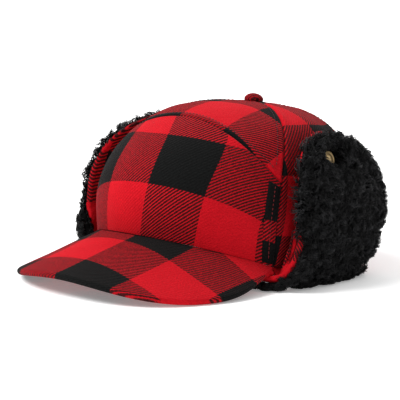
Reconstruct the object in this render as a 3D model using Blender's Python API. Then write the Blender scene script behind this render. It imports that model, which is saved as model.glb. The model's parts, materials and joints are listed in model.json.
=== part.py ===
"""A visored trapper hat: a plaid wool cap whose fleece-lined ear flaps fold up and snap to the crown.

Metres, +Z up, the visor points towards -Y and the wearer's left is +X. The hat stands on a level
surface at z = 0, on the sides of its visor and the back of its rim. Every piece is drawn in the cap's
own frame, whose rim lies in the plane z = 0, and hangs under one empty that leans the cap back.
"""

import math

import bmesh
import bpy
from mathutils import Matrix, Vector

# Standing pose
LEAN = math.radians(5.05)
STAND_HEIGHT = 0.01115
STAND_SHIFT = 0.03356

# Crown, over the outside of the cloth
HALF_WIDTH = 0.088
HALF_LENGTH = 0.104
CROWN_HEIGHT = 0.1125
BUTTON_SETBACK = 0.0216
FRONT_BULGE = 0.0188
BULGE_SKEW = 0.92
SIDE_SQUARENESS = 3.0
FRONT_SQUARENESS = 2.9
BACK_SQUARENESS = 2.7
RIM_ARCH = 0.01385

# Seams, as angles from the front centre line, and heights as a share of the way up
SIDE_SEAM = math.radians(65)
BACK_SEAM = math.radians(122)
ARCH_TOP = 0.575
ARCH_SIDE = 0.322
PANEL_TOP = 0.978

# Cloth layers, each as (outer depth, inner depth) below the crown's surface
GAP = 0.0004
WOOL = (0.0, 0.0018)
BUCKRAM = (0.0024, 0.0030)
BUCKRAM_WIDTH = 0.9
BUCKRAM_START = 0.03
BUCKRAM_ARCH_MARGIN = 0.02
LINING = (0.0042, 0.0049)
LINING_CLIMB = (0.02, 0.96)
SWEATBAND = (0.0059, 0.0070)
SWEATBAND_CLIMB = (0.012, 0.19)
HEM_DEPTH = 0.0016
HEM_INSET = 0.0042
HEM_START = math.radians(118)

# Visor
VISOR_REACH = 0.076
VISOR_HALF_WIDTH = 0.095
VISOR_SIDE_DROP = 0.0236
VISOR_SLOPE = 0.332
VISOR_SQUARENESS = 2.4
VISOR_CORNER_ADVANCE = 0.004
VISOR_DROP_HALF_WIDTH = 0.08
VISOR_CORNER_PINCH = 0.145
VISOR_PINCH_START = 0.72
VISOR_TUCK = 0.0035
VISOR_TUCK_SHARE = 0.1
VISOR_COVER = 0.0011
VISOR_BOARD = 0.0017
VISOR_HEM = 0.0014
VISOR_HEM_LAP = 0.0002
VISOR_EDGE_ROUND = 0.0006
VISOR_END_GAP = 0.004

# Ear flaps, folded up: the wool side faces the crown and the fleece faces out
HINGE_X = 0.092
HINGE_Z = -0.0095
FLAP_FACE_X = 0.0915
FLAP_WRAP = 1.4
FLAP_LEAN = 4.5
FLAP_LEAN_START = 0.030
FLAP_SHELL = 0.0024
FLAP_SHELL_INSET = 0.0012
FLAP_FLEECE = 0.0097
FLAP_EDGE_ROUNDING = 0.5
FLAP_CENTRE = (0.010, 0.042)
FLAP_OUTLINE = (
    (-0.048, -0.009),
    (-0.040, 0.014),
    (-0.039, 0.050),
    (-0.031, 0.076),
    (-0.012, 0.093),
    (0.014, 0.098),
    (0.042, 0.0925),
    (0.064, 0.077),
    (0.074, 0.052),
    (0.071, 0.025),
    (0.052, 0.0035),
    (0.030, -0.0065),
    (-0.005, -0.0085),
    (-0.028, -0.009),
)
ROOT_DEPTH = 0.0070
ROOT_FRONT = math.radians(66.5)
ROOT_BACK = math.radians(117)
ROOT_REACH = 0.006

# Snap fasteners: where each stud sits on the crown, and how steeply its axis rises outwards
SNAP_ANGLE = math.radians(85.3)
SNAP_CLIMB = 0.412
SNAP_RISE = math.radians(25)
CAP_RADIUS = 0.0062
CAP_HEIGHT = 0.0022
SHANK_RADIUS = 0.0016
SOCKET_RADIUS = 0.0052
SOCKET_MOUTH = 0.0034
SNAP_STANDOFF = 0.0009
STUD_RADIUS = 0.0048
STUD_NECK = 0.0018
STUD_HEIGHT = 0.0024
DISC = 0.0007
HOLE_LENGTH = 0.04

# Top button
BUTTON_RADIUS = 0.0073
BUTTON_HEIGHT = 0.0066
BUTTON_SHOULDER = 0.28
BUTTON_BACK_RADIUS = 0.0052

SMOOTH_ANGLE = math.radians(40)

# Looks, each as (colour, roughness, metallic)
RED_WOOL = ((0.62, 0.03, 0.04), 0.95, 0.0)
DARK_WOOL = ((0.30, 0.02, 0.03), 0.95, 0.0)
BLACK_FLEECE = ((0.012, 0.012, 0.013), 1.0, 0.0)
BLACK_SATIN = ((0.03, 0.03, 0.035), 0.6, 0.0)
BLACK_TWILL = ((0.04, 0.04, 0.045), 0.8, 0.0)
WHITE_BUCKRAM = ((0.85, 0.84, 0.80), 0.9, 0.0)
VISOR_CARD = ((0.75, 0.72, 0.62), 0.7, 0.0)
BRASS = ((0.70, 0.50, 0.22), 0.3, 1.0)
STEEL = ((0.72, 0.72, 0.70), 0.4, 1.0)


def rim_height(angle):
    """The rim arches up over the visor and is level round the sides and back."""
    share = angle / SIDE_SEAM
    return RIM_ARCH * max(0.0, 1.0 - share * share)


def crown_point(angle, climb):
    """A point of the crown's outer surface: angle from the front towards +X, climb 0 at the rim, 1 on top."""
    facing = math.cos(angle)
    power = SIDE_SQUARENESS
    power += (FRONT_SQUARENESS - SIDE_SQUARENESS) * max(facing, 0.0)
    power += (BACK_SQUARENESS - SIDE_SQUARENESS) * max(-facing, 0.0)
    across = math.cos(climb * math.pi / 2)
    upward = math.sin(climb * math.pi / 2)
    scale = (across**power + upward**power) ** (-1 / power)
    reach = across * scale
    rise = upward * scale
    bulge = FRONT_BULGE * math.sin(math.pi * min(rise, 1.0) ** BULGE_SKEW) * max(facing, 0.0)
    return Vector(
        (
            HALF_WIDTH * reach * math.sin(angle),
            -HALF_LENGTH * reach * facing + BUTTON_SETBACK * rise - bulge,
            rim_height(angle) * (1 - rise) + CROWN_HEIGHT * rise,
        )
    )


def crown_slopes(angle, climb):
    """How the surface point moves with angle and with climb."""
    step = 1e-4
    turn = (crown_point(angle + step, climb) - crown_point(angle - step, climb)) / (2 * step)
    low = max(climb - step, 0.0)
    lift = (crown_point(angle, climb + step) - crown_point(angle, low)) / (climb + step - low)
    return turn, lift


def below_crown(angle, climb, depth):
    turn, lift = crown_slopes(angle, climb)
    return crown_point(angle, climb) - turn.cross(lift).normalized() * depth


def arch_climb(angle):
    """The seam between the front panel and the top panel, an arch that is highest at the centre."""
    share = angle / SIDE_SEAM
    return ARCH_TOP + (ARCH_SIDE - ARCH_TOP) * share * share


def blend(low, high, share):
    return low + (high - low) * share


def new_material(name, colour, roughness, metallic):
    material = bpy.data.materials.new(name)
    material.use_nodes = True
    shader = material.node_tree.nodes["Principled BSDF"]
    shader.inputs["Base Color"].default_value = (*colour, 1.0)
    shader.inputs["Roughness"].default_value = roughness
    shader.inputs["Metallic"].default_value = metallic
    return material


def new_object(name, mesh_faces, look, parent=None, place=None):
    """A named object from a bmesh, with outward normals and smooth shading."""
    bmesh.ops.recalc_face_normals(mesh_faces, faces=mesh_faces.faces)
    mesh = bpy.data.meshes.new(name)
    mesh_faces.to_mesh(mesh)
    mesh_faces.free()
    mesh.shade_smooth()
    mesh.set_sharp_from_angle(angle=SMOOTH_ANGLE)
    mesh.materials.append(new_material(name, *look))
    thing = bpy.data.objects.new(name, mesh)
    bpy.context.scene.collection.objects.link(thing)
    thing.parent = parent
    if place is not None:
        thing.matrix_local = place
    return thing


def thick_sheet(outer, inner, ring=False, pole=None):
    """A closed bmesh between two grids of points. A ring joins its ends, and a pole closes its top."""
    made = bmesh.new()
    sides = [[[made.verts.new(point) for point in row] for row in grid] for grid in (outer, inner)]
    rows = len(outer)
    last = len(outer[0]) - 1
    for i in range(rows if ring else rows - 1):
        j = (i + 1) % rows
        for k in range(last):
            for side in sides:
                made.faces.new((side[i][k], side[j][k], side[j][k + 1], side[i][k + 1]))
        edges = (0,) if pole else (0, last)
        for k in edges:
            made.faces.new((sides[0][i][k], sides[0][j][k], sides[1][j][k], sides[1][i][k]))
    if pole:
        for side, point in zip(sides, pole):
            tip = made.verts.new(point)
            for i in range(rows):
                made.faces.new((side[i][last], side[(i + 1) % rows][last], tip))
    if not ring:
        for i in (0, rows - 1):
            for k in range(last):
                made.faces.new((sides[0][i][k], sides[0][i][k + 1], sides[1][i][k + 1], sides[1][i][k]))
    return made


def crown_patch(start, end, low, high, layer, columns, rows):
    """One cloth piece of the crown between two angles and two heights, held back half a gap from its seams."""
    grids = ([], [])
    for i in range(columns + 1):
        angle = blend(start, end, i / columns)
        bottom = low(angle)
        top = high(angle)
        lines = ([], [])
        for k in range(rows + 1):
            climb = blend(bottom, top, k / rows)
            turn, lift = crown_slopes(angle, climb)
            side = ((i == 0) - (i == columns)) * math.copysign(1, end - start)
            ends = (k == 0) - (k == rows)
            near_angle = angle + side * GAP / 2 / turn.length
            near_climb = climb + ends * GAP / 2 / lift.length
            for line, depth in zip(lines, layer):
                line.append(below_crown(near_angle, near_climb, depth))
        for grid, line in zip(grids, lines):
            grid.append(line)
    return thick_sheet(*grids)


def crown_ring(low, high, layer, columns, rows, closed_top):
    """A cloth piece that goes all round the crown."""
    grids = []
    for depth in layer:
        grid = []
        for i in range(columns):
            angle = 2 * math.pi * i / columns
            angle -= 2 * math.pi if angle > math.pi else 0.0
            grid.append([below_crown(angle, blend(low, high, k / rows), depth) for k in range(rows + 1)])
        grids.append(grid)
    if not closed_top:
        return thick_sheet(*grids, ring=True)
    top = crown_point(0.0, 1.0)
    pole = [top - Vector((0, 0, depth)) for depth in layer]
    return thick_sheet(*grids, ring=True, pole=pole)


def turned(profile, sides=16):
    """A solid of revolution about Z from (radius, height) pairs that start and end on the axis."""
    made = bmesh.new()
    rings = []
    for radius, height in profile:
        if radius == 0:
            rings.append([made.verts.new((0, 0, height))])
            continue
        ring = []
        for i in range(sides):
            angle = 2 * math.pi * i / sides
            ring.append(made.verts.new((radius * math.cos(angle), radius * math.sin(angle), height)))
        rings.append(ring)
    for lower, upper in zip(rings, rings[1:]):
        for i in range(sides):
            j = (i + 1) % sides
            corners = [lower[i % len(lower)], lower[j % len(lower)]]
            corners += [upper[j % len(upper)], upper[i % len(upper)]]
            made.faces.new(tuple(dict.fromkeys(corners)))
    return made


def make_crown(cap):
    def rim(angle):
        return 0.0

    def top(angle):
        return PANEL_TOP

    front = crown_patch(-SIDE_SEAM, SIDE_SEAM, rim, arch_climb, WOOL, 20, 7)
    new_object("front_panel", front, RED_WOOL, cap)
    crest = crown_patch(-SIDE_SEAM, SIDE_SEAM, arch_climb, top, WOOL, 20, 7)
    new_object("top_panel", crest, DARK_WOOL, cap)
    for side, sign in (("left", 1), ("right", -1)):
        flank = crown_patch(sign * SIDE_SEAM, sign * BACK_SEAM, rim, top, WOOL, 8, 11)
        panel = new_object(f"{side}_side_panel", flank, RED_WOOL, cap)
        make_stud(side, sign, cap, panel)
        rear = crown_patch(sign * BACK_SEAM, sign * math.pi, rim, top, WOOL, 8, 11)
        new_object(f"{side}_back_panel", rear, DARK_WOOL, cap)
    reach = SIDE_SEAM * BUCKRAM_WIDTH

    def above_rim(angle):
        return BUCKRAM_START

    def below_arch(angle):
        return arch_climb(angle) - BUCKRAM_ARCH_MARGIN

    stiffener = crown_patch(-reach, reach, above_rim, below_arch, BUCKRAM, 18, 7)
    new_object("front_buckram", stiffener, WHITE_BUCKRAM, cap)
    lining = crown_ring(*LINING_CLIMB, LINING, 36, 9, True)
    new_object("crown_lining", lining, BLACK_SATIN, cap)
    band = crown_ring(*SWEATBAND_CLIMB, SWEATBAND, 36, 3, False)
    new_object("sweatband", band, BLACK_TWILL, cap)


def hem_section(angle, depth, drop):
    edge = below_crown(angle, 0.0, depth)
    return Vector((edge.x, edge.y, rim_height(angle) - drop))


def make_rear_hem(cap):
    """The turned and bound edge of the rim, between the two flaps, round the back."""
    columns = 22
    grids = ([], [])
    for i in range(columns + 1):
        angle = blend(HEM_START, 2 * math.pi - HEM_START, i / columns)
        for grid, drop in zip(grids, (GAP, GAP + HEM_DEPTH)):
            grid.append([hem_section(angle, depth, drop) for depth in (0.0, HEM_INSET)])
    new_object("rear_rim_binding", thick_sheet(*grids), DARK_WOOL, cap)


def visor_outline(share):
    """The visor's outer edge, share -1 at the wearer's right corner and 1 at the left one."""
    bend = share * math.pi / 2
    power = 2 / VISOR_SQUARENESS
    corner = HALF_LENGTH * math.cos(SIDE_SEAM) + VISOR_CORNER_ADVANCE
    across = math.copysign(abs(math.sin(bend)) ** power, share) * VISOR_HALF_WIDTH
    forward = corner + (HALF_LENGTH + VISOR_REACH - corner) * abs(math.cos(bend)) ** power
    height = RIM_ARCH - VISOR_SIDE_DROP * (across / VISOR_DROP_HALF_WIDTH) ** 2
    height -= VISOR_SLOPE * (forward - HALF_LENGTH)
    pinch = max(0.0, abs(share) - VISOR_PINCH_START) / (1 - VISOR_PINCH_START)
    across *= 1 - VISOR_CORNER_PINCH * pinch * pinch
    return Vector((across, -forward, height))


def visor_point(share, out):
    """A point of the visor's top: out 0 under the crown, VISOR_TUCK_SHARE at the rim, 1 at the outer edge."""
    angle = share * SIDE_SEAM
    tuck = hem_section(angle, VISOR_TUCK, GAP)
    rim = hem_section(angle, 0.0, GAP)
    edge = visor_outline(share)
    if out < VISOR_TUCK_SHARE:
        return tuck.lerp(rim, out / VISOR_TUCK_SHARE)
    return rim.lerp(edge, (out - VISOR_TUCK_SHARE) / (1 - VISOR_TUCK_SHARE))


def below_visor(share, out, depth):
    step = 1e-3
    inner = min(max(out, VISOR_TUCK_SHARE + 0.02), 1 - step)
    across = visor_point(min(share + step, 1), inner) - visor_point(max(share - step, -1), inner)
    outward = visor_point(share, inner + step) - visor_point(share, inner)
    normal = outward.cross(across).normalized()
    normal *= math.copysign(1, normal.z)
    return visor_point(share, out) - normal * depth


def visor_sheet(stations, columns=28):
    """A visor layer from stations: share of the way out, inset from the edge, upper depth and lower depth."""
    grids = ([], [])
    for i in range(columns + 1):
        even = blend(-1, 1, i / columns)
        share = (even + math.sin(even * math.pi / 2)) / 2 * (1 - VISOR_END_GAP)
        reach = (visor_point(share, 1.0) - visor_point(share, VISOR_TUCK_SHARE)).length
        for way, inset, upper, lower in stations:
            out = way * (1 - (1 - VISOR_TUCK_SHARE) * inset / reach)
            for grid, depth in zip(grids, (upper, lower)):
                if len(grid) <= i:
                    grid.append([])
                grid[i].append(below_visor(share, out, depth))
    return thick_sheet(*grids)


def make_visor(cap):
    """The board between its two covers, whose edge the top cover wraps."""
    board_top = VISOR_COVER + GAP
    board_bottom = board_top + VISOR_BOARD
    under_top = board_bottom + GAP
    bottom = under_top + VISOR_COVER
    ways = (0.0, VISOR_TUCK_SHARE, 0.28, 0.46, 0.64, 0.82, 1.0)
    cover = [(way, VISOR_HEM + VISOR_HEM_LAP, 0.0, VISOR_COVER) for way in ways]
    cover += [(1.0, VISOR_HEM, 0.0, bottom), (1.0, 0.0, VISOR_EDGE_ROUND, bottom - VISOR_EDGE_ROUND)]
    new_object("visor_top_cover", visor_sheet(cover), RED_WOOL, cap)
    inset = VISOR_HEM + 4 * GAP
    board = [(way, inset, board_top, board_bottom) for way in ways]
    new_object("visor_board", visor_sheet(board), VISOR_CARD, cap)
    under = [(way, inset, under_top, bottom) for way in ways]
    new_object("visor_under_cover", visor_sheet(under), DARK_WOOL, cap)


def make_button(cap):
    """The covered button, whose shank drops through the ring where the panels meet, and its back."""
    top = crown_point(0.0, 1.0)
    shoulder = BUTTON_HEIGHT * BUTTON_SHOULDER
    shank = -WOOL[1] - GAP / 2
    dome = [(0, shank), (SHANK_RADIUS, shank), (SHANK_RADIUS, GAP), (BUTTON_RADIUS * 0.93, GAP)]
    dome += [(BUTTON_RADIUS, shoulder)]
    for i in range(1, 6):
        bend = math.pi / 2 * i / 5
        height = blend(shoulder, BUTTON_HEIGHT, math.sin(bend))
        dome.append((BUTTON_RADIUS * math.cos(bend) if i < 5 else 0, height))
    place = Matrix.Translation(top)
    new_object("top_button_cap", turned(dome), RED_WOOL, cap, place)
    upper = shank - GAP / 2
    back = [(0, upper - DISC), (BUTTON_BACK_RADIUS, upper - DISC), (BUTTON_BACK_RADIUS, upper), (0, upper)]
    new_object("top_button_back", turned(back), STEEL, cap, place)


def outline_points(count):
    """Evenly counted points on a smooth closed curve through the flap's outline."""
    points = [Vector((y, z)) for y, z in FLAP_OUTLINE]
    total = len(points)
    found = []
    for i in range(count):
        place = i * total / count
        k = int(place)
        t = place - k
        a, b, c, d = (points[(k + n) % total] for n in (-1, 0, 1, 2))
        curve = b * 2 + (c - a) * t + (a * 2 - b * 5 + c * 4 - d) * t**2
        curve += (b * 3 - a - c * 3 + d) * t**3
        found.append(curve / 2)
    return found


def flap_face_x(y, z):
    """How far out the flap's wool side stands: it follows the head and leans in at the top."""
    return FLAP_FACE_X - FLAP_WRAP * y * y - FLAP_LEAN * max(z - FLAP_LEAN_START, 0.0) ** 2


def flap_layer(sign, shrink, near, far):
    """A flap layer between two distances from the wool side, each a function of the way out to the edge."""
    centre = Vector(FLAP_CENTRE)
    rings = (1.0, 0.97, 0.9, 0.72, 0.4)
    grids = ([], [])
    for point in outline_points(32):
        spoke = point - centre
        spoke *= 1 - shrink / spoke.length
        for grid, distance in zip(grids, (near, far)):
            row = []
            for share in rings:
                y, z = centre + spoke * share
                row.append(Vector((sign * (flap_face_x(y, z) + distance(share)), y, z)))
            grid.append(row)
    pole = []
    for distance in (near, far):
        x = flap_face_x(*FLAP_CENTRE) + distance(0.0)
        pole.append(Vector((sign * x, *FLAP_CENTRE)))
    return thick_sheet(*grids, ring=True, pole=pole)


def along(axis, point):
    """A placement whose local +Z runs along an axis through a point."""
    return Matrix.Translation(point) @ axis.to_track_quat("Z", "Y").to_matrix().to_4x4()


def snap_line(sign):
    """The snap's axis, the stud's seat on the crown, and where the axis meets the flap's wool side."""
    axis = Vector((sign * math.cos(SNAP_RISE), 0, math.sin(SNAP_RISE)))
    seat = crown_point(sign * SNAP_ANGLE, SNAP_CLIMB)
    near, far = 0.0, 0.02
    for _ in range(40):
        middle = (near + far) / 2
        point = seat + axis * middle
        if abs(point.x) < flap_face_x(point.y, point.z):
            near = middle
        else:
            far = middle
    return axis, seat, seat + axis * near


def add_cutter(name, radius, place, parent):
    """A round rod that cuts a hole along its placement's Z axis."""
    made = bmesh.new()
    bmesh.ops.create_cone(made, cap_ends=True, segments=18, radius1=radius, radius2=radius, depth=HOLE_LENGTH)
    mesh = bpy.data.meshes.new(name)
    made.to_mesh(mesh)
    made.free()
    cutter = bpy.data.objects.new(name, mesh)
    bpy.context.scene.collection.objects.link(cutter)
    cutter.parent = parent
    cutter.matrix_local = place
    cutter.hide_render = True
    cutter.display_type = "WIRE"
    return cutter


def cut(target, cutter):
    hole = target.modifiers.new(cutter.name, "BOOLEAN")
    hole.operation = "DIFFERENCE"
    hole.solver = "EXACT"
    hole.object = cutter


def make_stud(side, sign, cap, panel):
    """The stud on the outside of the side panel, and the rivet that holds it through a hole in the cloth."""
    axis, seat, _ = snap_line(sign)
    place = along(axis, seat)
    cut(panel, add_cutter(f"{side}_rivet_hole", SHANK_RADIUS + GAP, place, cap))
    base = GAP + 0.0002
    stud = [(0, base), (STUD_RADIUS, base), (STUD_RADIUS, base + DISC), (STUD_NECK, base + DISC)]
    stud += [(STUD_NECK, STUD_HEIGHT - 0.0009), (STUD_NECK + 0.0004, STUD_HEIGHT - 0.0005)]
    stud += [(STUD_NECK - 0.0002, STUD_HEIGHT), (0, STUD_HEIGHT)]
    new_object(f"{side}_snap_stud", turned(stud), BRASS, cap, place)
    head = -WOOL[1] - SNAP_STANDOFF
    rivet = [(0, head - DISC), (STUD_RADIUS - 0.001, head - DISC), (STUD_RADIUS - 0.001, head)]
    rivet += [(SHANK_RADIUS, head), (SHANK_RADIUS, base - GAP), (0, base - GAP)]
    new_object(f"{side}_snap_rivet", turned(rivet), BRASS, cap, place)


def make_flap(side, sign, cap):
    """One ear flap and its half of the snap, hung on the fold line so that turning the empty folds it down."""
    pivot = Vector((sign * HINGE_X, 0, HINGE_Z))
    hinge = bpy.data.objects.new(f"{side}_flap_fold", None)
    bpy.context.scene.collection.objects.link(hinge)
    hinge.parent = cap
    hinge.location = pivot
    to_hinge = Matrix.Translation(-pivot)

    shell = flap_layer(sign, FLAP_SHELL_INSET, lambda share: 0.0, lambda share: FLAP_SHELL)
    bmesh.ops.transform(shell, matrix=to_hinge, verts=shell.verts)
    shell_part = new_object(f"{side}_flap_shell", shell, RED_WOOL, hinge)

    foot = FLAP_SHELL + GAP

    def pile(share):
        return foot + FLAP_FLEECE * (1 - FLAP_EDGE_ROUNDING * share**8)

    fleece = flap_layer(sign, 0.0, lambda share: foot, pile)
    bmesh.ops.transform(fleece, matrix=to_hinge, verts=fleece.verts)
    fleece_part = new_object(f"{side}_flap_fleece", fleece, BLACK_FLEECE, hinge)

    axis, _, face = snap_line(sign)
    seat = to_hinge @ along(axis, face)
    cut(shell_part, add_cutter(f"{side}_shank_hole", SHANK_RADIUS + GAP, seat, hinge))
    cut(fleece_part, add_cutter(f"{side}_cap_well", CAP_RADIUS + 2 * GAP, seat, hinge))

    lift = FLAP_SHELL + GAP
    button = [(0, 0), (SHANK_RADIUS, 0), (SHANK_RADIUS, lift), (CAP_RADIUS * 0.94, lift)]
    button += [(CAP_RADIUS, lift + CAP_HEIGHT * 0.3), (CAP_RADIUS * 0.86, lift + CAP_HEIGHT * 0.75)]
    button += [(CAP_RADIUS * 0.45, lift + CAP_HEIGHT * 0.96), (0, lift + CAP_HEIGHT)]
    new_object(f"{side}_snap_cap", turned(button), BRASS, hinge, seat)

    top = -SNAP_STANDOFF
    floor = top - DISC
    mouth = floor - 0.0011
    rim = SOCKET_RADIUS * 0.9
    socket = [(0, floor), (SOCKET_MOUTH - 0.0003, floor), (SOCKET_MOUTH, mouth), (rim, mouth)]
    socket += [(SOCKET_RADIUS, floor), (rim, top), (0, top)]
    new_object(f"{side}_snap_socket", turned(socket), BRASS, hinge, seat)


def make_flap_root(side, sign, cap):
    """The sewn strip between the rim and the flap's fold, which stays with the crown."""
    columns = 14
    grids = ([], [])
    for i in range(columns + 1):
        angle = sign * blend(ROOT_FRONT, ROOT_BACK, i / columns)
        rim = hem_section(angle, 0.0, 0.0)
        inner = hem_section(angle, HEM_INSET, 0.0)
        reach = min(abs(rim.x) + ROOT_REACH, flap_face_x(rim.y, 0.0) - 2 * GAP)
        outer = Vector((sign * reach, rim.y, 0))
        for grid, height in zip(grids, (-2 * GAP, -ROOT_DEPTH)):
            grid.append([Vector((point.x, point.y, height)) for point in (inner, rim, outer)])
    new_object(f"{side}_flap_root", thick_sheet(*grids), RED_WOOL, cap)


def main():
    for thing in list(bpy.data.objects):
        bpy.data.objects.remove(thing)
    cap = bpy.data.objects.new("cap_frame", None)
    bpy.context.scene.collection.objects.link(cap)
    cap.matrix_local = Matrix.Translation((0, STAND_SHIFT, STAND_HEIGHT)) @ Matrix.Rotation(-LEAN, 4, "X")
    make_crown(cap)
    make_rear_hem(cap)
    make_visor(cap)
    make_button(cap)
    for side, sign in (("left", 1), ("right", -1)):
        make_flap(side, sign, cap)
        make_flap_root(side, sign, cap)


main()
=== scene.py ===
"""The looks of the trapper hat: brushed buffalo-check wool, curly black fleece and brass snaps."""

import json
import math

import bmesh
import bpy
import numpy as np
from mathutils import Matrix, Vector
from mathutils.kdtree import KDTree


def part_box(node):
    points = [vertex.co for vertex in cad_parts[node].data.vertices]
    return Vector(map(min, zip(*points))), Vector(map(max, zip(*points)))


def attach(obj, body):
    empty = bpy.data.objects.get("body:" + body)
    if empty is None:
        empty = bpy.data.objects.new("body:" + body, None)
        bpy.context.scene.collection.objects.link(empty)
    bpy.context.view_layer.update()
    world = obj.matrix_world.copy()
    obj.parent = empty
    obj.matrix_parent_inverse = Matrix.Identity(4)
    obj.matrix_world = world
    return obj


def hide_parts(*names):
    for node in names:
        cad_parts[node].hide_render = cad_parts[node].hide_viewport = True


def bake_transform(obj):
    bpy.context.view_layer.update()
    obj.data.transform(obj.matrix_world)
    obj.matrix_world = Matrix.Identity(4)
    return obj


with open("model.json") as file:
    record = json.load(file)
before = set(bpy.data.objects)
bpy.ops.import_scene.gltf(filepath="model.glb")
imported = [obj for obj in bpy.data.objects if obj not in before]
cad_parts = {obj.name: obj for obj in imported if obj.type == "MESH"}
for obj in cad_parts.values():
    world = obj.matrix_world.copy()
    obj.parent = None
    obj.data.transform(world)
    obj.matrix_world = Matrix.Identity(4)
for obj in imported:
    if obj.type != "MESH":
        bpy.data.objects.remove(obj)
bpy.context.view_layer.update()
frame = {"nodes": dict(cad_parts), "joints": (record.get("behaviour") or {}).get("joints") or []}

# The cap's own frame, read from the two fold lines: its rim lies in z = 0 and it leans back by LEAN
joints = {joint["name"]: joint for joint in frame["joints"]}
left_fold, right_fold = joints["left_flap_fold"], joints["right_flap_fold"]
LEAN = math.atan2(-left_fold["axis"][2], left_fold["axis"][1])
FOLD_Z = -0.0095
fold_middle = (Vector(left_fold["pos_m"]) + Vector(right_fold["pos_m"])) / 2
CAP = Matrix.Translation(fold_middle) @ Matrix.Rotation(-LEAN, 4, "X") @ Matrix.Translation((0, 0, -FOLD_Z))

# Crown
HALF_WIDTH = 0.088
HALF_LENGTH = 0.104
CROWN_HEIGHT = 0.1125
BUTTON_SETBACK = 0.0216
FRONT_BULGE = 0.0188
BULGE_SKEW = 0.92
SIDE_SQUARENESS = 3.0
FRONT_SQUARENESS = 2.9
BACK_SQUARENESS = 2.7
RIM_ARCH = 0.01385
SIDE_SEAM = math.radians(65)
BACK_SEAM = math.radians(122)
ARCH_TOP = 0.575
ARCH_SIDE = 0.322
PANEL_TOP = 0.975
PANEL_STEP = 0.0016
WOOL = 0.0017
LINING_DEPTH = 0.0040
BAND_DEPTH = 0.0054

# Visor
VISOR_REACH = 0.076
VISOR_HALF_WIDTH = 0.095
VISOR_SIDE_DROP = 0.0236
VISOR_SLOPE = 0.332
VISOR_SQUARENESS = 2.4
VISOR_CORNER_ADVANCE = 0.004
VISOR_CORNER_PINCH = 0.145
VISOR_TUCK = 0.0035
VISOR_THICKNESS = 0.0047
VISOR_COVER = 0.0011

# Ear flaps
FLAP_FACE_X = 0.0915
FLAP_WRAP = 1.4
FLAP_LEAN = 4.5
FLAP_LEAN_START = 0.030
FLAP_SHELL = 0.0024
FLAP_FLEECE = 0.0097
FLAP_CENTRE = (0.010, 0.042)
FLAP_OUTLINE = (
    (-0.048, -0.009),
    (-0.040, 0.014),
    (-0.039, 0.050),
    (-0.031, 0.076),
    (-0.012, 0.093),
    (0.014, 0.098),
    (0.042, 0.0925),
    (0.064, 0.077),
    (0.074, 0.052),
    (0.071, 0.025),
    (0.052, 0.0035),
    (0.030, -0.0065),
    (-0.005, -0.0085),
    (-0.028, -0.009),
)

# Cloth: the check and the yarn in millimetres. Each grain gives cloth coordinates as where the cloth
# starts, how it runs across and up the form, and how it is eased over it, with lengths on the form
# counted in steps of 50 mm
CHECK = 41.0
YARN = 0.70
WARP_COVER = 0.40
MILLIMETRES = 1000.0
HEAD_RADIUS = 95
EASE_STEP = 0.050
FRONT_GRAIN = ((36.2, 52.8, -20.5, 0.4, 11.8, -3.0), (4.4, -3.6, 45.6, 1.6, 0.0, 3.6))
TOP_GRAIN = ((15.4, 44.5, 6.3, -2.0, 0.0, 1.2), (66.8, 8.1, 41.3, 3.2, -1.1, -0.5))
SIDE_GRAIN = ((50.5, 50.0, 0.0, 0.0, 0.0, 0.0), (59.8, 0.0, 50.3, 0.8, -1.6, 0.0))
BACK_GRAIN = ((20.5, 50.0, 0.0, 0.0, 0.0, 0.0), (59.8, 0.0, 50.3, 0.0, -1.6, 0.0))
VISOR_GRAIN = ((-41.4, 46.9, -0.9, 0.3, 1.1, 1.1), (56.4, 5.1, 53.7, 0.0, 0.0, -3.9))
VISOR_MIDDLE = -0.100
FLAP_GRAIN = ((62.0, 50.0, 0.0, 0.0, 0.0, 0.0), (18.0, 0.0, 50.0, 0.0, 0.0, 0.0))

# Pile: how deep its ground lies under the solid's face and inside its outline, how far it and its roots
# keep off the wool, and how many locks of each shade stand on a flap, a fold and a corner
FLOOR_CLEARANCE = 0.0003
PILE_SINK = 0.0034
PILE_INSET = 0.0042
WOOL_GAP = 0.0022
PILE_LOW = 0.0037
TUFT_SEED = 7
FLAP_LOCKS = 5200
FOLD_LOCKS = 2600
CORNER_LOCKS = 1300

# A flap's front edge, for the wearer's left (1) and right (-1): how far the pad's lower corner draws back,
# how far the pad covers the wool and the wool tucks in, from what height, and how far round the pile goes
CORNER_TRIM = {1: 0.0055, -1: 0.0}
CORNER_TRIM_REACH = 0.013
FRONT_COVER = {1: 0.0066, -1: 0.0026}
FRONT_TUCK = {1: 0.0040, -1: 0.0}
FRONT_COVER_FROM = {1: 0.016, -1: -0.014}
INWARD_PILE = {1: 0.60, -1: 0.15}

# The hollow in the pile round each snap
WELL_FLOOR = 0.0030
WELL_RADIUS = 0.0082
WELL_CLEAR = 0.0075
WELL_STRETCH = 1.7

# The fold: where its fleece starts, how it tapers at the back, and where it turns, beside the fold line
FOLD_ANGLES = (65.2, 116.5)
FOLD_COLUMNS = 30
FOLD_FLEECE_START = -0.034
FOLD_TAPER = 0.016
FOLD_FOOT_TOP = -0.003
BINDING_ANGLES = (118.5, 241.5)

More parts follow.
